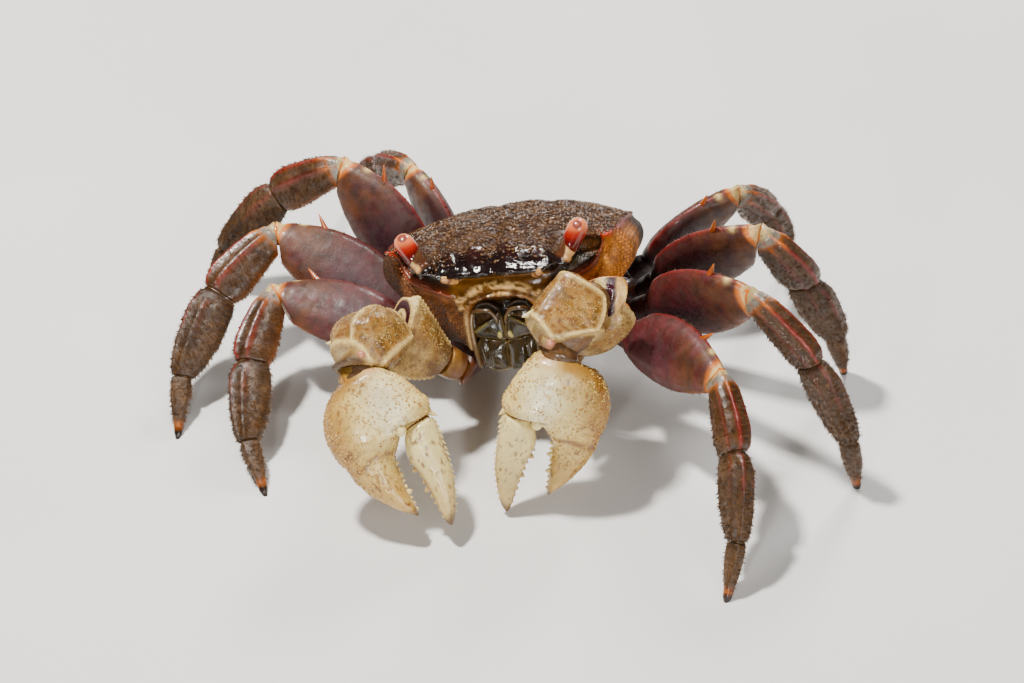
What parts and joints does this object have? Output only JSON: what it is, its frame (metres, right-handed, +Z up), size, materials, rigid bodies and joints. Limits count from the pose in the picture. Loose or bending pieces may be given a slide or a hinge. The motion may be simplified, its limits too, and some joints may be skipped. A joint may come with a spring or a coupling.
{
  "type": "land crab",
  "caption": "Life-size model of a mangrove land crab with a squarish dark shell, short eyestalks, maroon legs and pale claws hanging open in front.",
  "frame": {"origin": "on the floor, under the middle of the model's box", "axes": "+X to the crab's left, -Y the way that it faces, +Z up from the floor"},
  "size_m": [0.1146, 0.0882, 0.038],
  "materials": {
    "shell": "wet dark brown shell with fine grain",
    "underside": "orange-brown, satin",
    "stalk": "cream to orange, satin",
    "cornea": "orange-red, wet gloss",
    "mouth": "dark olive, satin",
    "claw_arm": "tan with cream rims, satin",
    "claw": "ivory with ochre edges, grainy satin",
    "thigh": "maroon with red edges, wet gloss",
    "shin": "brown with red ridges, satin",
    "foot": "muddy brown, furred"
  },
  "bodies": {
    "root": {"carapace": "shell", "breastplate": "underside", "abdomen": "underside", "eyestalk_left": "stalk", "cornea_left": "cornea", "mouthpart_left": "mouth", "antenna_left": "stalk", "claw_base_left": "claw_arm", "claw_merus_left": "claw_arm", "claw_carpus_left": "claw_arm", "claw_palm_left": "claw", "claw_finger_left": "claw", "merus_left_2": "thigh", "carpus_left_2": "shin", "propodus_left_2": "foot", "dactylus_left_2": "foot", "merus_left_3": "thigh", "carpus_left_3": "shin", "propodus_left_3": "foot", "dactylus_left_3": "foot", "merus_left_4": "thigh", "carpus_left_4": "shin", "propodus_left_4": "foot", "dactylus_left_4": "foot", "merus_left_5": "thigh", "carpus_left_5": "shin", "propodus_left_5": "foot", "dactylus_left_5": "foot", "eyestalk_right": "stalk", "cornea_right": "cornea", "mouthpart_right": "mouth", "antenna_right": "stalk", "claw_base_right": "claw_arm", "claw_merus_right": "claw_arm", "claw_carpus_right": "claw_arm", "claw_palm_right": "claw", "claw_finger_right": "claw", "merus_right_2": "thigh", "carpus_right_2": "shin", "propodus_right_2": "foot", "dactylus_right_2": "foot", "merus_right_3": "thigh", "carpus_right_3": "shin", "propodus_right_3": "foot", "dactylus_right_3": "foot", "merus_right_4": "thigh", "carpus_right_4": "shin", "propodus_right_4": "foot", "dactylus_right_4": "foot", "merus_right_5": "thigh", "carpus_right_5": "shin", "propodus_right_5": "foot", "dactylus_right_5": "foot"}
  },
  "joints": []
}
